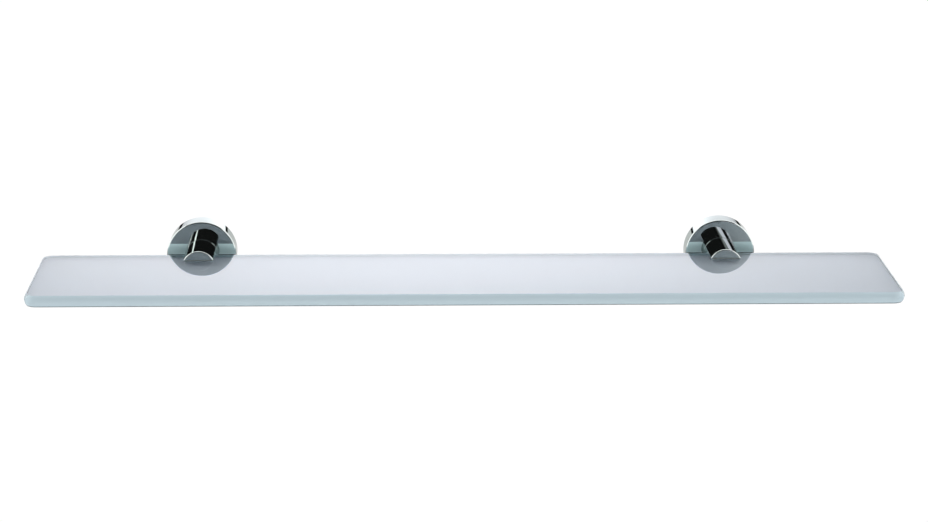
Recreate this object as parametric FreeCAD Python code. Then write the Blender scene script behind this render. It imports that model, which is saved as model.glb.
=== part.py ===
import FreeCAD, Part
import math
import os

from FreeCAD import Vector

# Glass wall shelf held at its back edge by two round brackets.
# Millimetres, +Z up, +X along the shelf. The wall is the plane Y = 0 and the room is towards -Y.
# The origin lies on the wall, midway between the brackets, at the height of the post axes.
# A depth is a distance from the wall, so a point at depth d has Y = -d.

# Glass sheet
glass_length = 600.0
glass_width = 110.0
glass_thickness = 8.0
glass_corner_radius = 9.0
glass_edge_bulge = 1.5
glass_top = 4.8

# Brackets
bracket_spacing = 375.0
rose_radius = 25.0
rose_depth = 15.0
rose_wall = 3.0
rose_face = 2.5
rose_front_round = 1.0
rose_back_round = 0.3
post_radius = 12.0
post_length = 34.0
post_end_round = 1.0
post_root_round = 0.6

# Slot in the post, its soft liner, and the plate that spreads the clamp screw's load
slot_depth = 20.5
liner_thickness = 1.0
liner_width = 20.0
liner_setback = 0.4
pressure_plate_thickness = 0.8
pressure_plate_width = 16.0
pressure_plate_length = 14.0

# Turned wall plate that the rose slides over
plate_radius = 21.7
plate_base = 2.5
plate_rim_wall = 3.0
plate_depth = 6.5
plate_edge = 0.5
groove_centre = 4.5
groove_deep = 1.2
wall_hole_radius = 2.6
wall_hole_spacing = 24.0

# Screws, washer and pin
thread_clearance = 0.05
post_screw_radius = 3.0
post_screw_length = 16.0
post_screw_head_radius = 5.0
post_screw_head_height = 6.0
post_screw_hex = 5.0
post_screw_socket = 3.0
post_hole_extra = 0.6
washer_thickness = 1.6
washer_inner_radius = 3.1
washer_split = 0.8
clearance_hole_radius = 3.3
pin_radius = 1.5
pin_length = 8.0
pin_offset = 8.0
pin_recess = 0.4
pin_clearance = 0.02
lock_screw_radius = 2.0
lock_screw_hex = 2.0
lock_screw_socket = 2.0
lock_screw_recess = 0.3
lock_screw_tip_radius = 0.3
lock_screw_bite = 0.8
clamp_screw_radius = 2.5
clamp_screw_length = 6.0
clamp_screw_hex = 2.5
clamp_screw_socket = 2.5
screw_edge = 0.4

# Free space between faces that slide on each other
sliding_gap = 0.02

# Worked-out depths from the wall and heights above the post axis
rose_inner_face = rose_depth - rose_face
post_end = rose_depth + post_length
slot_bottom = post_end - slot_depth
glass_back = slot_bottom + liner_thickness
glass_underside = glass_top - glass_thickness
slot_half_height = glass_top + liner_thickness
liner_underside = glass_underside - liner_thickness
clamp_depth = (slot_bottom + post_end) / 2
clamp_screw_tip = liner_underside - pressure_plate_thickness - sliding_gap
washer_face = rose_inner_face - washer_thickness
screw_head_face = washer_face - post_screw_head_height

room = Vector(0, -1, 0)
down = Vector(0, 0, -1)


def block(x, depth, z):
    # A box given by its (low, high) limits along X, in depth from the wall and in Z.
    size = (x[1] - x[0], depth[1] - depth[0], z[1] - z[0])
    return Part.makeBox(*size, Vector(x[0], -depth[1], z[0]))


def turned(profile):
    # A solid of revolution about the post axis, from (radius, depth) corners.
    corners = [Vector(radius, -depth, 0) for radius, depth in profile]
    outline = Part.makePolygon(corners + corners[:1])
    return Part.Face(outline).revolve(Vector(0, 0, 0), Vector(0, 1, 0), 360)


def rounded(solid, size, radius, depth):
    # The solid with its circular edge of this radius, at this depth, rounded off.
    rim = [
        e for e in solid.Edges
        if isinstance(e.Curve, Part.Circle)
        and abs(e.Curve.Radius - radius) < 1e-6
        and abs(e.Curve.Center.y + depth) < 1e-6
    ]
    return solid.makeFillet(size, rim)


def upright(profile, depth):
    # A solid of revolution about a vertical axis at this depth, from (radius, height) corners.
    corners = [Vector(radius, 0, height) for radius, height in profile]
    outline = Part.makePolygon(corners + corners[:1])
    solid = Part.Face(outline).revolve(Vector(0, 0, 0), Vector(0, 0, 1), 360)
    solid.translate(Vector(0, -depth, 0))
    return solid


def hexagon_socket(across_flats, start, direction, depth):
    # The prism that a hexagon key fills, from its mouth at start.
    corner = across_flats / math.sqrt(3)
    outline = Part.makePolygon([
        Vector(corner * math.cos(k * math.pi / 3), corner * math.sin(k * math.pi / 3), 0)
        for k in range(7)
    ])
    prism = Part.Face(outline).extrude(Vector(0, 0, depth))
    turn = FreeCAD.Rotation(Vector(0, 0, 1), direction)
    prism.Placement = FreeCAD.Placement(start, turn)
    return prism


def glass_section(half, from_axis=False):
    # A section of the sheet in the XZ plane, its edges ground to a pencil round.
    # It is whole, or only the part on the +X side of the axis.
    middle = (glass_underside + glass_top) / 2
    flat = half - glass_edge_bulge
    start = 0 if from_axis else -flat
    corners = [
        Vector(start, 0, glass_underside),
        Vector(flat, 0, glass_underside),
        Vector(flat, 0, glass_top),
        Vector(start, 0, glass_top),
    ]
    if from_axis:
        closing = Part.makeLine(corners[3], corners[0])
    else:
        closing = Part.Arc(corners[3], Vector(-half, 0, middle), corners[0]).toShape()
    return Part.Face(Part.Wire([
        Part.makeLine(corners[0], corners[1]),
        Part.Arc(corners[1], Vector(half, 0, middle), corners[2]).toShape(),
        Part.makeLine(corners[2], corners[3]),
        closing,
    ]))


def make_glass_shelf():
    # Two crossing slabs, and a disc at each corner that rounds it.
    along = glass_length / 2 - glass_corner_radius
    across = glass_width / 2 - glass_corner_radius
    long_slab = glass_section(glass_width / 2)
    long_slab.rotate(Vector(0, 0, 0), Vector(0, 0, 1), 90)
    long_slab.translate(Vector(-along, 0, 0))
    long_slab = long_slab.extrude(Vector(2 * along, 0, 0))
    cross_slab = glass_section(glass_length / 2)
    cross_slab.translate(Vector(0, -across, 0))
    cross_slab = cross_slab.extrude(Vector(0, 2 * across, 0))
    half_section = glass_section(glass_corner_radius, from_axis=True)
    disc = half_section.revolve(Vector(0, 0, 0), Vector(0, 0, 1), 360)
    discs = [disc.translated(Vector(x, y, 0)) for x in (-along, along) for y in (-across, across)]
    sheet = long_slab.fuse([cross_slab] + discs).removeSplitter()
    sheet.translate(Vector(0, -glass_back - glass_width / 2, 0))
    return sheet


def make_wall_plate():
    # The groove is a right-angled V, so it is as wide each way as it is deep.
    inner = plate_radius - plate_rim_wall
    plate = turned([
        (0, 0),
        (plate_radius - plate_edge, 0),
        (plate_radius, plate_edge),
        (plate_radius, groove_centre - groove_deep),
        (plate_radius - groove_deep, groove_centre),
        (plate_radius, groove_centre + groove_deep),
        (plate_radius, plate_depth - plate_edge),
        (plate_radius - plate_edge, plate_depth),
        (inner, plate_depth),
        (inner, plate_base),
        (0, plate_base),
    ])
    for height in (-wall_hole_spacing / 2, wall_hole_spacing / 2):
        start = Vector(0, 0, height)
        plate = plate.cut(Part.makeCylinder(wall_hole_radius, plate_base, start, room))
    return plate


def make_rose():
    inner = rose_radius - rose_wall
    rose = turned([
        (clearance_hole_radius, rose_inner_face),
        (inner, rose_inner_face),
        (inner, 0),
        (rose_radius, 0),
        (rose_radius, rose_depth),
        (clearance_hole_radius, rose_depth),
    ])
    rose = rounded(rose, rose_front_round, rose_radius, rose_depth)
    rose = rounded(rose, rose_back_round, rose_radius, 0)
    pin_start = Vector(0, -rose_inner_face, pin_offset)
    pin_hole = Part.makeCylinder(pin_radius, rose_face, pin_start, room)
    lock_start = Vector(0, -groove_centre, -inner + 1)
    lock_hole = Part.makeCylinder(lock_screw_radius, rose_wall + 2, lock_start, down)
    return rose.cut([pin_hole, lock_hole])


def make_post():
    post = turned([(0, rose_depth), (post_radius, rose_depth), (post_radius, post_end), (0, post_end)])
    post = rounded(post, post_end_round, post_radius, post_end)
    post = rounded(post, post_root_round, post_radius, rose_depth)
    across = (-post_radius - 1, post_radius + 1)
    slot = block(across, (slot_bottom, post_end + 1), (-slot_half_height, slot_half_height))
    reach = post_screw_length - washer_thickness - rose_face + post_hole_extra
    screw_hole = Part.makeCylinder(post_screw_radius, reach, Vector(0, -rose_depth, 0), room)
    pin_reach = pin_length - rose_face + pin_recess + post_hole_extra
    pin_start = Vector(0, -rose_depth, pin_offset)
    pin_hole = Part.makeCylinder(pin_radius, pin_reach, pin_start, room)
    clamp_start = Vector(0, -clamp_depth, 0)
    clamp_hole = Part.makeCylinder(clamp_screw_radius, post_radius + 1, clamp_start, down)
    return post.cut([slot, screw_hole, pin_hole, clamp_hole])


def make_post_screw():
    shank = post_screw_radius - thread_clearance
    tip = washer_face + post_screw_length
    screw = turned([
        (0, screw_head_face),
        (post_screw_head_radius - screw_edge, screw_head_face),
        (post_screw_head_radius, screw_head_face + screw_edge),
        (post_screw_head_radius, washer_face),
        (shank, washer_face),
        (shank, tip - screw_edge),
        (shank - screw_edge, tip),
        (0, tip),
    ])
    mouth = Vector(0, -screw_head_face, 0)
    return screw.cut(hexagon_socket(post_screw_hex, mouth, room, post_screw_socket))


def make_spring_washer():
    washer = turned([
        (washer_inner_radius, washer_face),
        (post_screw_head_radius, washer_face),
        (post_screw_head_radius, rose_inner_face),
        (washer_inner_radius, rose_inner_face),
    ])
    half = washer_split / 2
    depth = (washer_face - 1, rose_inner_face + 1)
    return washer.cut(block((0, post_screw_head_radius + 1), depth, (-half, half)))


def make_alignment_pin():
    start = rose_inner_face + pin_recess
    end = start + pin_length
    radius = pin_radius - pin_clearance
    pin = turned([
        (0, start),
        (radius - screw_edge, start),
        (radius, start + screw_edge),
        (radius, end - screw_edge),
        (radius - screw_edge, end),
        (0, end),
    ])
    pin.translate(Vector(0, 0, pin_offset))
    return pin


def make_slot_liner():
    across = (-liner_width / 2, liner_width / 2)
    depth = (slot_bottom, post_end - liner_setback)
    wrap = block(across, depth, (liner_underside, slot_half_height))
    inside = block(
        (across[0] - 1, across[1] + 1),
        (glass_back - sliding_gap, post_end + 1),
        (glass_underside - sliding_gap, glass_top + sliding_gap),
    )
    return wrap.cut(inside)


def make_pressure_plate():
    half = pressure_plate_width / 2
    half_length = pressure_plate_length / 2
    return block(
        (-half, half),
        (clamp_depth - half_length, clamp_depth + half_length),
        (liner_underside - pressure_plate_thickness, liner_underside),
    )


def make_glass_clamp_screw():
    radius = clamp_screw_radius - thread_clearance
    top = clamp_screw_tip
    bottom = top - clamp_screw_length
    screw = upright([
        (0, top),
        (radius - screw_edge, top),
        (radius, top - screw_edge),
        (radius, bottom + screw_edge),
        (radius - screw_edge, bottom),
        (0, bottom),
    ], clamp_depth)
    mouth = Vector(0, -clamp_depth, bottom)
    up = Vector(0, 0, 1)
    return screw.cut(hexagon_socket(clamp_screw_hex, mouth, up, clamp_screw_socket))


def make_rose_lock_screw():
    radius = lock_screw_radius - thread_clearance
    bottom = lock_screw_recess - rose_radius
    tip = lock_screw_bite - plate_radius
    shoulder = tip - (radius - lock_screw_tip_radius)
    screw = upright([
        (0, tip),
        (lock_screw_tip_radius, tip),
        (radius, shoulder),
        (radius, bottom + screw_edge),
        (radius - screw_edge, bottom),
        (0, bottom),
    ], groove_centre)
    mouth = Vector(0, -groove_centre, bottom)
    up = Vector(0, 0, 1)
    return screw.cut(hexagon_socket(lock_screw_hex, mouth, up, lock_screw_socket))


bracket_makers = {
    "wall_plate": make_wall_plate,
    "rose": make_rose,
    "post": make_post,
    "post_screw": make_post_screw,
    "spring_washer": make_spring_washer,
    "alignment_pin": make_alignment_pin,
    "slot_liner": make_slot_liner,
    "pressure_plate": make_pressure_plate,
    "glass_clamp_screw": make_glass_clamp_screw,
    "rose_lock_screw": make_rose_lock_screw,
}


def main():
    os.makedirs("parts", exist_ok=True)
    make_glass_shelf().exportStep("parts/glass_shelf.step")
    for side, direction in (("left", -1), ("right", 1)):
        for name, make in bracket_makers.items():
            shape = make()
            shape.translate(Vector(direction * bracket_spacing / 2, 0, 0))
            shape.exportStep(f"parts/{side}_{name}.step")


main()
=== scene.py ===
import math

import bmesh
import bpy
from mathutils import Matrix, Vector


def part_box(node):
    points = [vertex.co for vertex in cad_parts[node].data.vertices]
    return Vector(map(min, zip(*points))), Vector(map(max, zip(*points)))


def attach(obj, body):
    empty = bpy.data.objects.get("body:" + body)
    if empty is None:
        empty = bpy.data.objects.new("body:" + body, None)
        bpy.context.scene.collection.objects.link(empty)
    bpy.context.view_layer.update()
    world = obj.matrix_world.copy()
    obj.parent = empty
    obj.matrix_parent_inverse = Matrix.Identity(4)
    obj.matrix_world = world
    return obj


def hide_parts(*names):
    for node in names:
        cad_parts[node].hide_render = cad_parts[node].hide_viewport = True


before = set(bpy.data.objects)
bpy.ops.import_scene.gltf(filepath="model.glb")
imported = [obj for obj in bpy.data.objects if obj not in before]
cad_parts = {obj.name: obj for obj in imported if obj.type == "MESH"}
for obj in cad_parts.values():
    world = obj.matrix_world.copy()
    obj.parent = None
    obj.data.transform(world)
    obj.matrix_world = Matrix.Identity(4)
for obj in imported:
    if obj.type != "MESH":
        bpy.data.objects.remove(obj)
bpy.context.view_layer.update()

scene = bpy.context.scene
scene.view_settings.view_transform = "Standard"
sides = ("left", "right")
mm = 0.001
snap = 1e-7  # two places this close are one place
near = 1e-6  # the slack when points are picked by where they are
hair = 0.02 * mm  # a gap or an overlap too small to see
over = 1 * mm  # how far a cutter runs past what it cuts
crease = math.radians(35)  # an edge that turns more than this stays a crisp line
print("frame loaded:", len(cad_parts), "nodes")


def colour(hexText):  # an sRGB hex value as linear red, green, blue, alpha
    channels = [int(hexText[i:i + 2], 16) / 255 for i in (0, 2, 4)]
    linear = [c / 12.92 if c <= 0.04045 else ((c + 0.055) / 1.055) ** 2.4 for c in channels]
    return (*linear, 1.0)


def addNode(tree, kind, settings=None, values=None, links=None):
    node = tree.nodes.new("ShaderNode" + kind)
    for name, value in (settings or {}).items():
        setattr(node, name, value)
    for socket, value in (values or {}).items():
        node.inputs[socket].default_value = value
    for socket, source in (links or {}).items():
        tree.links.new(source, node.inputs[socket])
    return node


def newMaterial(name):
    material = bpy.data.materials.new(name)
    material.use_nodes = True
    material.node_tree.nodes.clear()
    return material, material.node_tree


def finishMaterial(tree, shader, volume=None):
    links = {"Surface": shader}
    if volume:
        links["Volume"] = volume
    addNode(tree, "OutputMaterial", links=links)


def unevenSkin(tree, shader, look):
    # cloudy patches between the look's smooth and rough, and where it has a grain, a relief of its height
    spot = addNode(tree, "TexCoord").outputs["Object"]
    detail = look.get("detail", 3.0)
    clouds = addNode(tree, "TexNoise", values={"Scale": 1 / look["cloud"], "Detail": 3.0},
                     links={"Vector": spot})
    # this noise hardly leaves the middle of its range, so the middle is stretched
    patches = addNode(tree, "MapRange", values={
        "From Min": 0.3, "From Max": 0.7, "To Min": look["smooth"], "To Max": look["rough"],
    }, links={"Value": clouds.outputs["Fac"]})
    tree.links.new(patches.outputs["Result"], shader.inputs["Roughness"])
    if "grain" in look:
        grain = addNode(tree, "TexNoise", values={"Scale": 1 / look["grain"], "Detail": detail},
                        links={"Vector": spot})
        relief = addNode(tree, "Bump", values={"Strength": 1.0, "Distance": look["height"]},
                         links={"Height": grain.outputs["Fac"]})
        tree.links.new(relief.outputs["Normal"], shader.inputs["Normal"])


def makeChrome():
    # bright chrome plate over buffed brass: a cool grey mirror, barely clouded by wiping,
    # with the slow waves that buffing leaves
    look = {"tint": "ccd3d1", "grazing": "c0c2c1", "cloud": 14 * mm, "smooth": 0.012, "rough": 0.035,
            "grain": 9 * mm, "height": 0.0015 * mm, "detail": 1.0}
    material, tree = newMaterial("brightChromePlate")
    shader = addNode(tree, "BsdfPrincipled", values={
        "Base Color": colour(look["tint"]), "Metallic": 1.0, "Specular Tint": colour(look["grazing"]),
    })
    unevenSkin(tree, shader, look)
    finishMaterial(tree, shader.outputs["BSDF"])
    return material


def makeGlass(name, look):
    # soda-lime glass, with the green cast that its iron gives where light runs a long way inside
    body = {"tint": "d2e8e4", "density": 9.0, "index": 1.52}
    material, tree = newMaterial(name)
    shader = addNode(tree, "BsdfPrincipled", values={
        "Base Color": colour(look["tint"]), "IOR": body["index"], "Transmission Weight": look["through"],
    })
    unevenSkin(tree, shader, look)
    inside = addNode(tree, "VolumeAbsorption",
                     values={"Color": colour(body["tint"]), "Density": body["density"]})
    finishMaterial(tree, shader.outputs["BSDF"], inside.outputs["Volume"])
    return material


def makePolishedGlass():
    # float glass as it comes off the tin: clear and mirror-smooth, with faint wiped patches
    return makeGlass("polishedFloatGlass", {
        "tint": "ffffff", "through": 1.0, "cloud": 60 * mm, "smooth": 0.0, "rough": 0.012})


def makeEtchedGlass():
    # acid-etched float glass: a fine even satin that scatters light and hides what is behind;
    # the real grain is about a tenth of this, too fine to show
    return makeGlass("acidEtchedFloatGlass", {
        "tint": "d9e3f0", "through": 0.35, "cloud": 30 * mm, "smooth": 0.42, "rough": 0.52,
        "grain": 0.5 * mm, "height": 0.02 * mm})


def makeGroundEdge(name, look):
    # the wheel's marks on a ground edge, drawn about five times as coarse as real so that they show
    return makeGlass(name, {"cloud": 40 * mm, "grain": 0.4 * mm, "height": 0.003 * mm, **look})


def makeFrontEdge():
    # ground and left satin: it glows with the light that runs along inside the sheet
    return makeGroundEdge("satinGroundGlassEdge", {
        "tint": "dff3fb", "through": 0.2, "smooth": 0.5, "rough": 0.56})


def makeEndEdge():
    # ground finer, so a little clearer and glossier than the front
    return makeGroundEdge("fineGroundGlassEdge", {
        "tint": "dceef4", "through": 0.36, "smooth": 0.2, "rough": 0.25})


def makeRearEdge():
    # ground plain, as nobody sees it: duller and even
    return makeGroundEdge("evenGroundGlassEdge", {
        "tint": "c8dee4", "through": 0.2, "smooth": 0.45, "rough": 0.55})


def makeShadedSeam():
    # the lower corner of the edge, tinted dark: painted shade, a thin dark line where the edge's lowest strip
    # lies in shadow
    return makeGroundEdge("paintedShadeGlassSeam", {
        "tint": "5b6c74", "through": 0.2, "smooth": 0.4, "rough": 0.5})


def makeMetal(name, look):
    # a bare or plated metal whose roughness and relief follow one grain
    material, tree = newMaterial(name)
    shader = addNode(tree, "BsdfPrincipled", values={"Base Color": colour(look["tint"]), "Metallic": 1.0})
    unevenSkin(tree, shader, {**look, "cloud": look["grain"]})
    finishMaterial(tree, shader.outputs["BSDF"])
    return material


def makeZincSteel():
    # turned steel under bright zinc: bluish grey, with the plate's faint mottle drawn coarse enough to show
    return makeMetal("brightZincPlatedSteel", {
        "tint": "c3c7cb", "smooth": 0.22, "rough": 0.36, "grain": 1.2 * mm, "height": 0.01 * mm})


def makeStainless():
    # stainless steel as machined: a warm grey with a soft shine, broken by tool marks that are drawn
    # several times as wide as real ones
    return makeMetal("machinedStainlessSteel", {
        "tint": "b9b8b5", "smooth": 0.18, "rough": 0.3, "grain": 0.5 * mm, "height": 0.006 * mm})


def makeBrass():
    # rolled brass strip: yellow, with a dull even shine and a coarsened grain from the rolls
    return makeMetal("rolledBrassStrip", {
        "tint": "c9a35c", "smooth": 0.2, "rough": 0.34, "grain": 0.8 * mm, "height": 0.006 * mm})


def makeVinyl():
    # soft extruded vinyl: nearly clear, a little cloudy, with a waxy gloss
    look = {"tint": "dfe5e4", "through": 0.6, "index": 1.53, "cloud": 4 * mm, "smooth": 0.25, "rough": 0.4,
            "grain": 0.8 * mm, "height": 0.01 * mm}
    material, tree = newMaterial("softClearVinyl")
    shader = addNode(tree, "BsdfPrincipled", values={
        "Base Color": colour(look["tint"]), "IOR": look["index"], "Transmission Weight": look["through"],
    })
    unevenSkin(tree, shader, look)
    finishMaterial(tree, shader.outputs["BSDF"])
    return material


chrome = makeChrome()
glassFinishes = {
    "top": makePolishedGlass(), "underside": makeEtchedGlass(), "front": makeFrontEdge(),
    "ends": makeEndEdge(), "shadedSeam": makeShadedSeam(), "rear": makeRearEdge(),
}
zincSteel = makeZincSteel()
stainless = makeStainless()
brass = makeBrass()
vinyl = makeVinyl()
print("materials made")


def spun(profile, axis, centre, steps, closed=False):
    # turns (radius, distance along the axis) points about the axis, which runs through centre
    bm = bmesh.new()
    along = Vector(axis)
    out = Vector((1, 0, 0))
    verts = [bm.verts.new(out * radius + along * distance) for radius, distance in profile]
    ends = verts[1:] + verts[:1] if closed else verts[1:]
    edges = [bm.edges.new(pair) for pair in zip(verts, ends)]
    bmesh.ops.spin(bm, geom=verts + edges, cent=(0, 0, 0), axis=along, angle=math.tau,
                   steps=steps, use_merge=True, use_duplicate=False)
    bmesh.ops.remove_doubles(bm, verts=bm.verts, dist=snap)
    bmesh.ops.recalc_face_normals(bm, faces=bm.faces)
    bmesh.ops.translate(bm, vec=Vector(centre), verts=bm.verts)
    return bm


def score(bm, point, normal):
    # adds a line of edges where a plane crosses the shape
    bmesh.ops.bisect_plane(bm, geom=bm.verts[:] + bm.edges[:] + bm.faces[:], plane_co=point,
                           plane_no=normal, dist=snap)


def sharpEdges(bm, degrees=30):
    return [e for e in bm.edges if e.is_manifold and abs(e.calc_face_angle()) > math.radians(degrees)]


def soften(bm, edges, width, segments):
    bmesh.ops.bevel(bm, geom=edges, offset=width, offset_type="OFFSET", segments=segments,
                    profile=0.5, affect="EDGES", material=-1, clamp_overlap=True)


def joinFlats(bm):
    level = math.radians(0.05)
    bmesh.ops.dissolve_limit(bm, angle_limit=level, use_dissolve_boundaries=False,
                             verts=bm.verts, edges=bm.edges)


def madeObject(name, bm, materials):
    mesh = bpy.data.meshes.new(name)
    bm.to_mesh(mesh)
    bm.free()
    for material in materials:
        mesh.materials.append(material)
    mesh.shade_smooth()
    piece = bpy.data.objects.new(name, mesh)
    scene.collection.objects.link(piece)
    return piece


def clearSlivers(mesh):
    width = 2e-6
    bm = bmesh.new()
    bm.from_mesh(mesh)
    bmesh.ops.remove_doubles(bm, verts=bm.verts, dist=width)
    bmesh.ops.dissolve_degenerate(bm, dist=width, edges=bm.edges)
    bm.to_mesh(mesh)
    bm.free()


def joinWith(piece, otherBm, operation):
    # a boolean with a second shape, applied at once
    other = madeObject("other", otherBm, [])
    join = piece.modifiers.new("join", "BOOLEAN")
    join.operation = operation
    join.solver = "EXACT"
    join.object = other
    shape = piece.evaluated_get(bpy.context.evaluated_depsgraph_get())
    mesh = bpy.data.meshes.new_from_object(shape)
    clearSlivers(mesh)
    piece.modifiers.clear()
    old = piece.data
    piece.data = mesh
    bpy.data.meshes.remove(old)
    bpy.data.objects.remove(other)


def cutAway(piece, otherBm):
    joinWith(piece, otherBm, "DIFFERENCE")


def stand(bm, axis, foot):
    # turns a shape made along Z so that it runs along axis from foot
    turn = Vector((0, 0, 1)).rotation_difference(Vector(axis)).to_matrix().to_4x4()
    bmesh.ops.transform(bm, matrix=Matrix.Translation(Vector(foot)) @ turn, verts=bm.verts)
    return bm


def drill(radius, length, axis, mouth, flare=0.0, steps=48):
    # a drilled hole's cutter: it starts a little before its mouth and can be flared there
    profile = [(0, -over), (radius + flare, -over), (radius + flare, 0), (radius, flare)]
    if not flare:
        profile = [(0, -over), (radius, -over)]
    return stand(spun(profile + [(radius, length), (0, length)], (0, 0, 1), (0, 0, 0), steps), axis, mouth)


def hexKeyHole(flats, depth, axis, mouth):
    corner = flats / math.sqrt(3)
    bm = bmesh.new()
    bmesh.ops.create_cone(bm, cap_ends=True, segments=6, radius1=corner, radius2=corner, depth=2 * depth)
    return stand(bm, axis, mouth)


def threadedRod(radius, pitch, length, steps=48):
    # a metric thread along Z, one true helix, cut square at both ends
    crest, root, deep = pitch / 8, pitch / 6, 0.6134 * pitch  # a metric thread's own proportions
    flank = (pitch - crest - root) / 2
    spare = 2  # turns below the foot, which are cut off
    turns = math.ceil(length / pitch) + spare + 1
    bm = bmesh.new()
    verts = []
    for k in range(turns):
        start = (k - spare) * pitch
        for out, up in ((radius, 0), (radius, crest), (radius - deep, crest + flank),
                        (radius - deep, crest + flank + root)):
            verts.append(bm.verts.new((out, 0, start + up)))
    edges = [bm.edges.new(pair) for pair in zip(verts, verts[1:])]
    bmesh.ops.spin(bm, geom=verts + edges, cent=(0, 0, 0), axis=(0, 0, 1), dvec=(0, 0, pitch / steps),
                   angle=math.tau, steps=steps, use_merge=False, use_duplicate=False)
    bmesh.ops.remove_doubles(bm, verts=bm.verts, dist=near)
    for height, up in ((0, -1), (length, 1)):
        bmesh.ops.bisect_plane(bm, geom=bm.verts[:] + bm.edges[:] + bm.faces[:], plane_co=(0, 0, height),
                               plane_no=(0, 0, up), clear_outer=True, dist=snap)
    bmesh.ops.holes_fill(bm, edges=[e for e in bm.edges if e.is_boundary])
    bmesh.ops.recalc_face_normals(bm, faces=bm.faces)
    return bm


def place(piece, body, node):
    # large faces keep their flat shading, and the roundings between them take up the turn
    weights = piece.modifiers.new("even normals", "WEIGHTED_NORMAL")
    weights.weight = 100
    weights.keep_sharp = True
    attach(piece, body)
    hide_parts(node)


def middle(node):
    low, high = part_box(node)
    return (low + high) / 2


def makeGlassShelf():
    # a pencil-edged sheet: its rim bulges by an arc between two crisp lines
    sheet = {"corner": 9 * mm, "cornerSteps": 20, "bulge": 1.5 * mm, "levels": 12, "line": 0.1 * mm,
             "seam": 0.6 * mm}
    low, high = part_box("glass_shelf")
    size, centre = high - low, (low + high) / 2
    bm = bmesh.new()
    bmesh.ops.create_cube(bm, size=1.0)
    bmesh.ops.scale(bm, vec=size, verts=bm.verts)
    upright = [e for e in bm.edges if abs((e.verts[0].co - e.verts[1].co).z) > size.z / 2]
    soften(bm, upright, sheet["corner"], segments=sheet["cornerSteps"])
    half, bulge = size.z / 2, sheet["bulge"]
    for k in range(1, sheet["levels"]):
        score(bm, (0, 0, half * (2 * k / sheet["levels"] - 1)), (0, 0, 1))
    bend = (half ** 2 + bulge ** 2) / (2 * bulge)  # radius of the arc
    cornerX, cornerY = size.x / 2 - sheet["corner"], size.y / 2 - sheet["corner"]
    for vert in bm.verts:
        turnedIn = bend - math.sqrt(bend ** 2 - vert.co.z ** 2)
        middleOfCorner = Vector((math.copysign(cornerX, vert.co.x), math.copysign(cornerY, vert.co.y)))
        out = vert.co.xy - middleOfCorner
        vert.co.xy = middleOfCorner + out * (1 - turnedIn / out.length)
    rims = [e for e in bm.edges if min(abs(v.co.z) for v in e.verts) > half - snap]
    soften(bm, rims, sheet["line"], segments=2)
    bmesh.ops.translate(bm, vec=centre, verts=bm.verts)
    level, facing = 0.99, 0.5  # how squarely a face looks along an axis before it counts
    finishes = list(glassFinishes)
    for face in bm.faces:
        if face.normal.z < -level:
            finish = "underside"
        elif face.normal.z > level:
            finish = "top"
        elif face.normal.y > facing:
            finish = "rear"
        # the lowest strip of the front and end edges takes the dark tint: painted shade along the sheet's
        # lower corner
        elif face.calc_center_median().z < low.z + sheet["seam"]:
            finish = "shadedSeam"
        else:
            finish = "front" if face.normal.y < -facing else "ends"
        face.material_index = finishes.index(finish)
    piece = madeObject("glassShelf", bm, glassFinishes.values())
    place(piece, "glass", "glass_shelf")


def makeRose(side):
    # a hollow cup with a rounded face edge, a hole for the post's screw and one for its pin in the
    # face, and a hole for the lock screw in its underside
    rose = {"wall": 3 * mm, "face": 2.5 * mm, "edge": 1.0 * mm, "backEdge": 0.3 * mm,
            "screwHole": 3.3 * mm, "lockHole": 2 * mm, "lockFlare": 0.3 * mm, "lockDepth": 4.5 * mm,
            "pinHole": 1.5 * mm, "rimBand": 0.1 * mm, "steps": 160}
    low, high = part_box(side + "_rose")
    centre = (low + high) / 2
    radius, depth = (high.z - low.z) / 2, -low.y
    inner, innerFace = radius - rose["wall"], depth - rose["face"]
    bm = spun([(rose["screwHole"], innerFace), (inner, innerFace), (inner, 0), (radius, 0), (radius, depth),
               (rose["screwHole"], depth)], (0, -1, 0), (centre.x, 0, 0), rose["steps"], closed=True)
    rim = [e for e in sharpEdges(bm)
           if math.hypot(e.verts[0].co.x - centre.x, e.verts[0].co.z) > radius - rose["rimBand"]]
    front = [e for e in rim if e.verts[0].co.y < -depth / 2]
    back = [e for e in rim if e.verts[0].co.y > -depth / 2]
    soften(bm, front, rose["edge"], segments=5)
    soften(bm, back, rose["backEdge"], segments=2)
    piece = madeObject(side + "Rose", bm, [chrome])
    mouth = (centre.x, -rose["lockDepth"], -radius + hair)
    cutAway(piece, drill(rose["lockHole"], rose["wall"] + over, (0, 0, 1), mouth, rose["lockFlare"]))
    pinMouth = (centre.x, -depth, middle(side + "_alignment_pin").z)
    cutAway(piece, drill(rose["pinHole"], rose["face"] + over, (0, 1, 0), pinMouth))
    piece.data.set_sharp_from_angle(angle=crease)
    place(piece, "brackets", side + "_rose")


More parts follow.
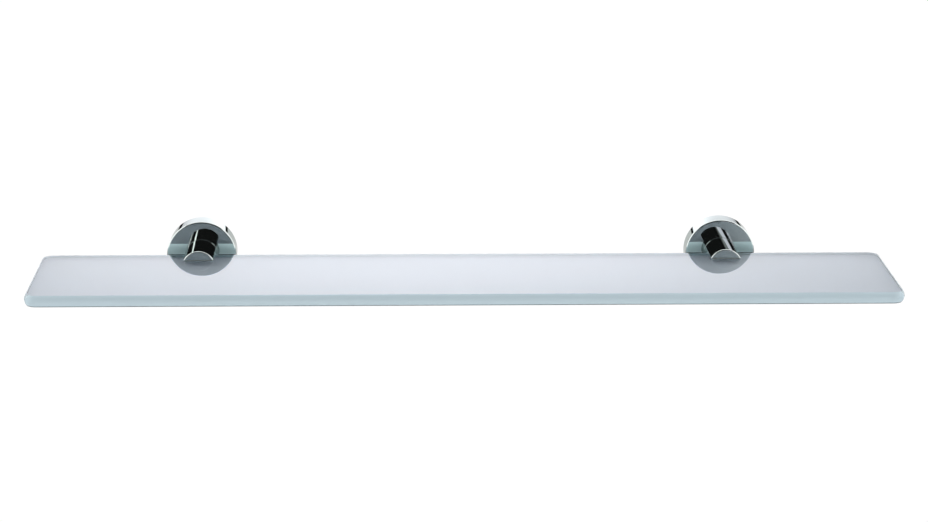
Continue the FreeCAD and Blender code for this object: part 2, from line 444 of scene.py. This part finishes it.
def makePost(side):
    # a plain cylinder with a slot in its end for the glass, and holes for its screw, its pin and the
    # clamp screw
    post = {"endEdge": 1.0 * mm, "rootEdge": 0.6 * mm, "slotDepth": 20.5 * mm, "liner": 1 * mm,
            "clampHole": 2.5 * mm, "clampFlare": 0.3 * mm, "screwHole": 3 * mm, "screwReach": 12.5 * mm,
            "pinHole": 1.5 * mm, "pinReach": 6.5 * mm, "facet": 2 * mm, "steps": 128}
    low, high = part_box(side + "_post")
    centre = (low + high) / 2
    radius, root, end = (high.z - low.z) / 2, -high.y, -low.y
    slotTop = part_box("glass_shelf")[1].z + post["liner"]
    slotBottom = end - post["slotDepth"]
    bm = spun([(0, root), (radius, root), (radius, end), (0, end)], (0, -1, 0), (centre.x, 0, 0),
              post["steps"])
    joinFlats(bm)
    score(bm, (0, 0, slotTop), (0, 0, 1))
    score(bm, (0, 0, -slotTop), (0, 0, 1))
    score(bm, (0, -slotBottom, 0), (0, 1, 0))
    middles = [(f, f.calc_center_median()) for f in bm.faces]
    inSlot = [f for f, spot in middles if abs(spot.z) < slotTop and spot.y < -slotBottom - near]
    bmesh.ops.delete(bm, geom=inSlot, context="FACES")
    for height in (slotTop, -slotTop):  # the two straight edges at the slot's bottom
        bm.edges.new([v for v in bm.verts
                      if abs(v.co.z - height) < near and abs(v.co.y + slotBottom) < near])
    bmesh.ops.edgenet_fill(bm, edges=[e for e in bm.edges if len(e.link_faces) < 2])
    bmesh.ops.recalc_face_normals(bm, faces=bm.faces)
    # the round rim of the end, without the long straight edges along the slot
    rim = [e for e in sharpEdges(bm)
           if max(v.co.y for v in e.verts) < -end + near
           and min(abs(v.co.z) for v in e.verts) > slotTop - near
           and e.calc_length() < post["facet"]]
    soften(bm, rim, post["endEdge"], segments=5)
    foot = [e for e in sharpEdges(bm) if min(v.co.y for v in e.verts) > -root - near]
    soften(bm, foot, post["rootEdge"], segments=3)
    piece = madeObject(side + "Post", bm, [chrome])
    mouth = (centre.x, -(slotBottom + end) / 2, -radius + hair)
    cutAway(piece, drill(post["clampHole"], radius, (0, 0, 1), mouth, post["clampFlare"]))
    cutAway(piece, drill(post["screwHole"], post["screwReach"], (0, -1, 0), (centre.x, -root, 0)))
    pinMouth = (centre.x, -root, middle(side + "_alignment_pin").z)
    cutAway(piece, drill(post["pinHole"], post["pinReach"], (0, -1, 0), pinMouth))
    piece.data.set_sharp_from_angle(angle=crease)
    place(piece, "brackets", side + "_post")


def makeWallPlate(side):
    # a turned dish with a V groove round its rim and two countersunk holes
    plate = {"base": 2.5 * mm, "rimWall": 3 * mm, "grooveAt": 4.5 * mm, "grooveDeep": 1.2 * mm,
             "edge": 0.35 * mm, "hole": 2.6 * mm, "holeFlare": 0.4 * mm, "holeSpacing": 24 * mm, "steps": 128}
    low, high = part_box(side + "_wall_plate")
    centre = (low + high) / 2
    radius, depth = (high.z - low.z) / 2, -low.y
    inner, grooveAt, deep = radius - plate["rimWall"], plate["grooveAt"], plate["grooveDeep"]
    bm = spun([(0, 0), (radius, 0), (radius, grooveAt - deep), (radius - deep, grooveAt),
               (radius, grooveAt + deep), (radius, depth), (inner, depth), (inner, plate["base"]),
               (0, plate["base"])], (0, -1, 0), (centre.x, 0, 0), plate["steps"])
    joinFlats(bm)
    soften(bm, sharpEdges(bm, degrees=60), plate["edge"], segments=3)
    piece = madeObject(side + "WallPlate", bm, [zincSteel])
    for height in (-plate["holeSpacing"] / 2, plate["holeSpacing"] / 2):
        mouth = (centre.x, -plate["base"], height)
        cutAway(piece, drill(plate["hole"], plate["base"] + over, (0, 1, 0), mouth, plate["holeFlare"]))
    place(piece, "brackets", side + "_wall_plate")


def makePostScrew(side):
    # a socket head cap screw with a knurled head
    screw = {"pitch": 1 * mm, "headHeight": 6 * mm, "headEdge": 0.5 * mm, "knurl": 0.12 * mm, "teeth": 60,
             "shank": 2.95 * mm, "rodFrom": 4 * mm, "trimmed": 5 * mm, "tip": 0.6 * mm,
             "key": 5 * mm, "keyDeep": 3 * mm, "steps": 96}
    low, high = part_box(side + "_post_screw")
    centre, headRadius = (low + high) / 2, (high.z - low.z) / 2
    length, shank, tip = high.y - low.y, screw["shank"], screw["tip"]
    foot = (centre.x, high.y, centre.z)
    room = (0, -1, 0)
    points = 2 * screw["teeth"]
    head = spun([(0, 0), (headRadius, 0), (headRadius, screw["headHeight"]), (0, screw["headHeight"])],
                (0, 0, 1), (0, 0, 0), points)
    joinFlats(head)
    rim = [e for e in sharpEdges(head) if e.verts[0].co.z < screw["headEdge"]]
    soften(head, rim, screw["headEdge"], segments=3)
    # every second line of points round the head goes in, which leaves the teeth
    grooves = [v for v in head.verts if v.co.xy.length > headRadius - near
               and round(math.atan2(v.co.y, v.co.x) / math.tau * points) % 2]
    bmesh.ops.scale(head, vec=(1 - screw["knurl"] / headRadius,) * 2 + (1,), verts=grooves)
    piece = madeObject(side + "PostScrew", stand(head, room, foot), [stainless])
    rod = threadedRod(shank, screw["pitch"], length - screw["rodFrom"])
    bmesh.ops.translate(rod, vec=(0, 0, screw["rodFrom"]), verts=rod.verts)
    joinWith(piece, stand(rod, room, foot), "UNION")
    wide, slim, shoulder = headRadius + over, shank + hair, length - screw["trimmed"]
    envelope = spun([(0, -over), (wide, -over), (wide, shoulder), (slim, shoulder), (slim, length - tip),
                     (shank - tip, length), (0, length)], (0, 0, 1), (0, 0, 0), screw["steps"])
    joinWith(piece, stand(envelope, room, foot), "INTERSECT")
    cutAway(piece, hexKeyHole(screw["key"], screw["keyDeep"], room, foot))
    place(piece, "brackets", side + "_post_screw")


def makeSpringWasher(side):
    # a square-section ring with a leaning cut through it
    washer = {"inner": 3.1 * mm, "edge": 0.2 * mm, "split": 0.8 * mm, "lean": 0.5 * mm, "steps": 96}
    low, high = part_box(side + "_spring_washer")
    centre, radius = (low + high) / 2, (high.z - low.z) / 2
    thick = high.y - low.y
    bm = spun([(washer["inner"], -high.y), (radius, -high.y), (radius, -low.y), (washer["inner"], -low.y)],
              (0, -1, 0), (centre.x, 0, centre.z), washer["steps"], closed=True)
    soften(bm, sharpEdges(bm), washer["edge"], segments=2)
    piece = madeObject(side + "SpringWasher", bm, [stainless])
    gap = bmesh.new()
    bmesh.ops.create_cube(gap, size=1.0)
    bmesh.ops.scale(gap, vec=(radius, 3 * thick, washer["split"]), verts=gap.verts)  # right through
    for vert in gap.verts:
        vert.co.z += vert.co.y * washer["lean"] / thick
    bmesh.ops.translate(gap, vec=(centre.x + radius, centre.y, centre.z), verts=gap.verts)
    cutAway(piece, gap)
    place(piece, "brackets", side + "_spring_washer")


def makeAlignmentPin(side):
    pin = {"edge": 0.4 * mm, "steps": 48}
    low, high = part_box(side + "_alignment_pin")
    centre, radius = (low + high) / 2, (high.z - low.z) / 2
    bm = spun([(0, -high.y), (radius, -high.y), (radius, -low.y), (0, -low.y)],
              (0, -1, 0), (centre.x, 0, centre.z), pin["steps"])
    joinFlats(bm)
    soften(bm, sharpEdges(bm), pin["edge"], segments=4)
    piece = madeObject(side + "AlignmentPin", bm, [stainless])
    place(piece, "brackets", side + "_alignment_pin")


def makeSlotLiner(side):
    # a soft U that grips the sheet, a hair inside the slot's walls
    liner = {"corner": 0.45 * mm, "lip": 0.3 * mm, "end": 0.12 * mm}
    low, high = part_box(side + "_slot_liner")
    glassLow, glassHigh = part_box("glass_shelf")
    top, bottom, back, front = high.z - hair, low.z + hair, high.y - hair, low.y
    roof, floor, wall = glassHigh.z + hair, glassLow.z - hair, glassHigh.y + hair
    outline = [(front, bottom), (back, bottom), (back, top), (front, top), (front, roof), (wall, roof),
               (wall, floor), (front, floor)]
    bm = bmesh.new()
    face = bm.faces.new([bm.verts.new((low.x, y, z)) for y, z in outline])
    grown = bmesh.ops.extrude_face_region(bm, geom=[face])
    moved = [v for v in grown["geom"] if isinstance(v, bmesh.types.BMVert)]
    bmesh.ops.translate(bm, vec=(high.x - low.x, 0, 0), verts=moved)
    bmesh.ops.recalc_face_normals(bm, faces=bm.faces)

    def lengthwise(y):
        return [e for e in bm.edges if abs(e.verts[0].co.y - y) < near
                and abs(e.verts[0].co.x - e.verts[1].co.x) > (high.x - low.x) / 2]

    soften(bm, lengthwise(back), liner["corner"], segments=3)
    soften(bm, lengthwise(front), liner["lip"], segments=3)
    soften(bm, sharpEdges(bm, degrees=60), liner["end"], segments=2)
    piece = madeObject(side + "SlotLiner", bm, [vinyl])
    place(piece, "brackets", side + "_slot_liner")


def makePressurePlate(side):
    plate = {"corner": 1 * mm, "edge": 0.1 * mm, "gap": 0.01 * mm}
    low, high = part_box(side + "_pressure_plate")
    bm = bmesh.new()
    bmesh.ops.create_cube(bm, size=1.0)
    bmesh.ops.scale(bm, vec=high - low - Vector((0, 0, plate["gap"])), verts=bm.verts)
    bmesh.ops.translate(bm, vec=(low + high) / 2 - Vector((0, 0, plate["gap"] / 2)), verts=bm.verts)
    upright = [e for e in bm.edges if e.verts[0].co.xy == e.verts[1].co.xy]
    soften(bm, upright, plate["corner"], segments=5)
    soften(bm, sharpEdges(bm, degrees=60), plate["edge"], segments=2)
    piece = madeObject(side + "PressurePlate", bm, [brass])
    place(piece, "brackets", side + "_pressure_plate")


def makeGrubScrew(side, screw):
    # a headless screw with a hexagon socket below and a cone at its upper end
    node = side + "_" + screw["node"]
    low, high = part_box(node)
    centre, radius, length = (low + high) / 2, (high.x - low.x) / 2, high.z - low.z
    foot = (centre.x, centre.y, low.z)
    up = (0, 0, 1)
    rod = threadedRod(radius, screw["pitch"], length)
    piece = madeObject(side + screw["name"], stand(rod, up, foot), [stainless])
    wide, tip, edge = radius + hair, screw["tipRadius"], screw["edge"]
    envelope = spun([(0, 0), (wide - edge, 0), (wide, edge), (wide, length - (wide - tip)), (tip, length),
                     (0, length)], up, foot, screw["steps"])
    joinWith(piece, envelope, "INTERSECT")
    cutAway(piece, hexKeyHole(screw["key"], screw["keyDeep"], up, foot))
    place(piece, side + "_" + screw["body"], node)


def makeGlassClampScrew(side):
    makeGrubScrew(side, {"node": "glass_clamp_screw", "name": "GlassClampScrew", "body": "clamp_screw",
                         "pitch": 0.8 * mm, "tipRadius": 1.9 * mm, "edge": 0.5 * mm, "key": 2.5 * mm,
                         "keyDeep": 2.5 * mm, "steps": 96})


def makeRoseLockScrew(side):
    makeGrubScrew(side, {"node": "rose_lock_screw", "name": "RoseLockScrew", "body": "lock_screw",
                         "pitch": 0.7 * mm, "tipRadius": 0.3 * mm, "edge": 0.4 * mm, "key": 2 * mm,
                         "keyDeep": 2 * mm, "steps": 96})


makeGlassShelf()
print("glass made")
for side in sides:
    makeRose(side)
    makePost(side)
    makeWallPlate(side)
    makePostScrew(side)
    makeSpringWasher(side)
    makeAlignmentPin(side)
    makeSlotLiner(side)
    makePressurePlate(side)
    makeGlassClampScrew(side)
    makeRoseLockScrew(side)
    print(side, "bracket made")


def makeCamera():
    # a long lens, a little above the shelf and left of its middle: angles in degrees, lens in mm
    view = {"from": (-53.7 * mm, -1862.1 * mm, 487.7 * mm), "down": 14.922, "right": 1.72, "roll": 0.21,
            "lens": 102.46, "sensor": 36.0, "farthest": 100.0}
    data = bpy.data.cameras.new("camera")
    data.sensor_width = view["sensor"]
    data.lens = view["lens"]
    data.clip_end = view["farthest"]
    camera = bpy.data.objects.new("camera", data)
    scene.collection.objects.link(camera)
    down, right, roll = (math.radians(view[k]) for k in ("down", "right", "roll"))
    ahead = Vector((math.sin(right) * math.cos(down), math.cos(right) * math.cos(down), -math.sin(down)))
    level = ahead.cross(Vector((0, 0, 1))).normalized()
    above = level.cross(ahead)
    across = level * math.cos(roll) + above * math.sin(roll)
    upward = above * math.cos(roll) - level * math.sin(roll)
    turn = Matrix((across, upward, -ahead)).transposed()
    camera.matrix_world = Matrix.Translation(view["from"]) @ turn.to_4x4()
    scene.camera = camera


def cardMaterial(name, strength, tint="ffffff", fades=()):
    # a plain glow, or one that falls off softly along X or Z from its brightest line
    material, tree = newMaterial(name)
    glow = addNode(tree, "Emission", values={"Color": colour(tint), "Strength": strength})
    if fades:
        spot = addNode(tree, "TexCoord")
        split = addNode(tree, "SeparateXYZ", links={"Vector": spot.outputs["Object"]})
        total = None
        for axis, line, width in fades:
            offset = addNode(tree, "Math", {"operation": "SUBTRACT"}, {1: line}, {0: split.outputs[axis]})
            scaled = addNode(tree, "Math", {"operation": "DIVIDE"}, {1: width}, {0: offset.outputs[0]})
            links = {0: scaled.outputs[0], 1: scaled.outputs[0]}
            if total:
                links[2] = total.outputs[0]
            total = addNode(tree, "Math", {"operation": "MULTIPLY_ADD"}, {2: 0.0}, links)
        halved = addNode(tree, "Math", {"operation": "MULTIPLY"}, {1: -0.5}, {0: total.outputs[0]})
        fall = addNode(tree, "Math", {"operation": "EXPONENT"}, {}, {0: halved.outputs[0]})
        power = addNode(tree, "Math", {"operation": "MULTIPLY"}, {1: strength}, {0: fall.outputs[0]})
        tree.links.new(power.outputs[0], glow.inputs["Strength"])
    finishMaterial(tree, glow.outputs["Emission"])
    return material


def makeCard(name, corners, material):
    # one flat glowing or black sheet that lights the metal and the glass but isn't seen itself
    bm = bmesh.new()
    bm.faces.new([bm.verts.new(corner) for corner in corners])
    card = madeObject(name, bm, [material])
    card.visible_camera = False


def acrossView(x, y, z):
    # corners of an upright card from its low to its high X and Z
    return [(x[0], y, z[0]), (x[1], y, z[0]), (x[1], y, z[1]), (x[0], y, z[1])]


def makeBackCards(room, black):
    # in layers, the nearest first: a soft pool of light, an even glow to its sides and above, a dark
    # line under them, and a plain card down to the floor
    back = {"horizon": 0.186, "gap": 0.078, "split": 1.1, "foot": -1.25, "reach": 1.2, "flat": 0.3,
            "drop": -0.62, "widening": 6}
    glow = {"pool": 3.1, "tint": "f8f7fd", "acrossAt": -0.03, "across": 0.67, "upAt": 0.32, "up": 0.3,
            "far": 0.9, "upper": 1.7, "low": 1.2}
    behind = {"far": 0.005, "gap": 0.01, "low": 0.02}
    side, y, top = room["side"], room["back"], room["top"]

    def arched(depth, height, highest, reach):
        # a card whose lower edge is level in the middle and falls away to both sides
        lowest = back["drop"] + back["widening"] * (height - back["horizon"])
        low = height + (lowest - height) * (reach - back["flat"]) / (side - back["flat"])
        return [(-reach, depth, low), (-back["flat"], depth, height), (back["flat"], depth, height),
                (reach, depth, low), (reach, depth, highest), (-reach, depth, highest)]

    pool = cardMaterial("litBackdrop", glow["pool"], glow["tint"],
                        [("X", glow["acrossAt"], glow["across"]), ("Z", glow["upAt"], glow["up"])])
    makeCard("backCard", arched(y, back["horizon"], back["split"], back["reach"]), pool)
    makeCard("farBackCard", arched(y + behind["far"], back["horizon"], back["split"], side),
             cardMaterial("litBackdropFar", glow["far"]))
    makeCard("upperBackCard", acrossView((-side, side), y, (back["split"], top)),
             cardMaterial("litBackdropTop", glow["upper"]))
    makeCard("blackGap", arched(y + behind["gap"], back["horizon"] - back["gap"], top, side), black)
    makeCard("lowBackCard", acrossView((-side, side), y + behind["low"], (back["foot"], top)),
             cardMaterial("litBackdropFoot", glow["low"]))


def makeTent(room):
    # a light over the wall side, and a pale sheet to the left and right
    tent = {"overFrom": 0.3, "over": 2.6, "sideFrom": -3.4, "sideFoot": -0.1, "sides": 1.8}
    side, y, top = room["side"], room["back"], room["top"]
    front, foot = tent["sideFrom"], tent["sideFoot"]
    makeCard("overheadCard", [(-side, tent["overFrom"], top), (side, tent["overFrom"], top),
                              (side, y, top), (-side, y, top)], cardMaterial("overheadLight", tent["over"]))
    tentSide = cardMaterial("tentSide", tent["sides"])
    for x in (-side, side):
        makeCard("tentSide", [(x, front, foot), (x, y, foot), (x, y, top), (x, front, top)], tentSide)


def makeFrontCards(room, black):
    # the dark room behind the lens: a black flag, a hardly lit slope over it and a bright foot
    flag = {"reach": 2.2, "foot": -1.06, "top": 3.0, "slopeTo": -1.0, "slopeTop": 4.0, "slope": 0.03,
            "lightFoot": -2.2, "light": 3.5}
    side, y = room["side"], room["front"]
    makeCard("frontFlag", acrossView((-flag["reach"], flag["reach"]), y, (flag["foot"], flag["top"])), black)
    slopeTo, slopeTop = flag["slopeTo"], flag["slopeTop"]
    makeCard("frontTop", [(-side, y, flag["top"]), (side, y, flag["top"]), (side, slopeTo, slopeTop),
                          (-side, slopeTo, slopeTop)], cardMaterial("litFrontTop", flag["slope"]))
    makeCard("frontFoot", acrossView((-side, side), y, (flag["lightFoot"], flag["foot"])),
             cardMaterial("litFrontFoot", flag["light"]))


def makePanels():
    # what the posts mirror down their flanks: a narrow light on the left, and on the right a lilac
    # panel with a fainter one above it
    strip = {"x": (-0.74, -0.685), "y": -2.2, "z": (0.2, 0.6), "light": 3.5}
    panel = {"x": (0.505, 0.95), "y": -2.2, "z": (0.22, 0.48), "light": 2.2, "tint": "efe8f5"}
    faded = {"x": (0.35, 0.75), "y": -2.21, "z": (0.48, 0.9), "light": 0.6, "fades": [("X", 0.57, 0.06)]}
    makeCard("stripLight", acrossView(strip["x"], strip["y"], strip["z"]),
             cardMaterial("stripLight", strip["light"]))
    makeCard("sidePanel", acrossView(panel["x"], panel["y"], panel["z"]),
             cardMaterial("dimPanel", panel["light"], panel["tint"]))
    makeCard("sidePanelTop", acrossView(faded["x"], faded["y"], faded["z"]),
             cardMaterial("fadedPanel", faded["light"], fades=faded["fades"]))


def makeFloorPaint():
    # matt grey paint, rolled on the top only, so that nothing hides the shelf from a low place
    look = {"tint": "dfe0e0", "cloud": 50 * mm, "smooth": 0.6, "rough": 0.75}
    material, tree = newMaterial("mattFloorPaint")
    shader = addNode(tree, "BsdfPrincipled", values={"Base Color": colour(look["tint"])})
    unevenSkin(tree, shader, look)
    under = addNode(tree, "NewGeometry").outputs["Backfacing"]
    clear = addNode(tree, "BsdfTransparent")
    sided = addNode(tree, "MixShader", links={0: under, 1: shader.outputs["BSDF"], 2: clear.outputs["BSDF"]})
    finishMaterial(tree, sided.outputs["Shader"])
    return material


def makeFloor():
    floor = {"height": -1.3, "reach": 1.95, "steps": 96}
    bm = bmesh.new()
    bmesh.ops.create_circle(bm, cap_ends=True, segments=floor["steps"], radius=floor["reach"])
    bmesh.ops.translate(bm, vec=(0, 0, floor["height"]), verts=bm.verts)
    madeObject("floor", bm, [makeFloorPaint()])


def makeStage():
    room = {"side": 3.0, "back": 2.0, "top": 3.6, "front": -3.7}
    black = cardMaterial("blackFlag", 0.02)
    makeBackCards(room, black)
    makeTent(room)
    makeFrontCards(room, black)
    makePanels()
    makeFloor()


def makeWorld():
    # the lens sees white, and everything else is lit by a dim even room
    room = {"seen": 1.02, "tint": "e9ecf2", "light": 0.48}
    world = bpy.data.worlds.new("studio")
    world.use_nodes = True
    tree = world.node_tree
    tree.nodes.clear()
    rays = addNode(tree, "LightPath").outputs["Is Camera Ray"]
    dim = addNode(tree, "Background", values={"Color": colour(room["tint"]), "Strength": room["light"]})
    white = addNode(tree, "Background", values={"Color": colour("ffffff"), "Strength": room["seen"]})
    both = addNode(tree, "MixShader", links={0: rays, 1: dim.outputs[0], 2: white.outputs[0]})
    addNode(tree, "OutputWorld", links={"Surface": both.outputs[0]})
    scene.world = world


makeCamera()
makeStage()
makeWorld()
print("stage made")
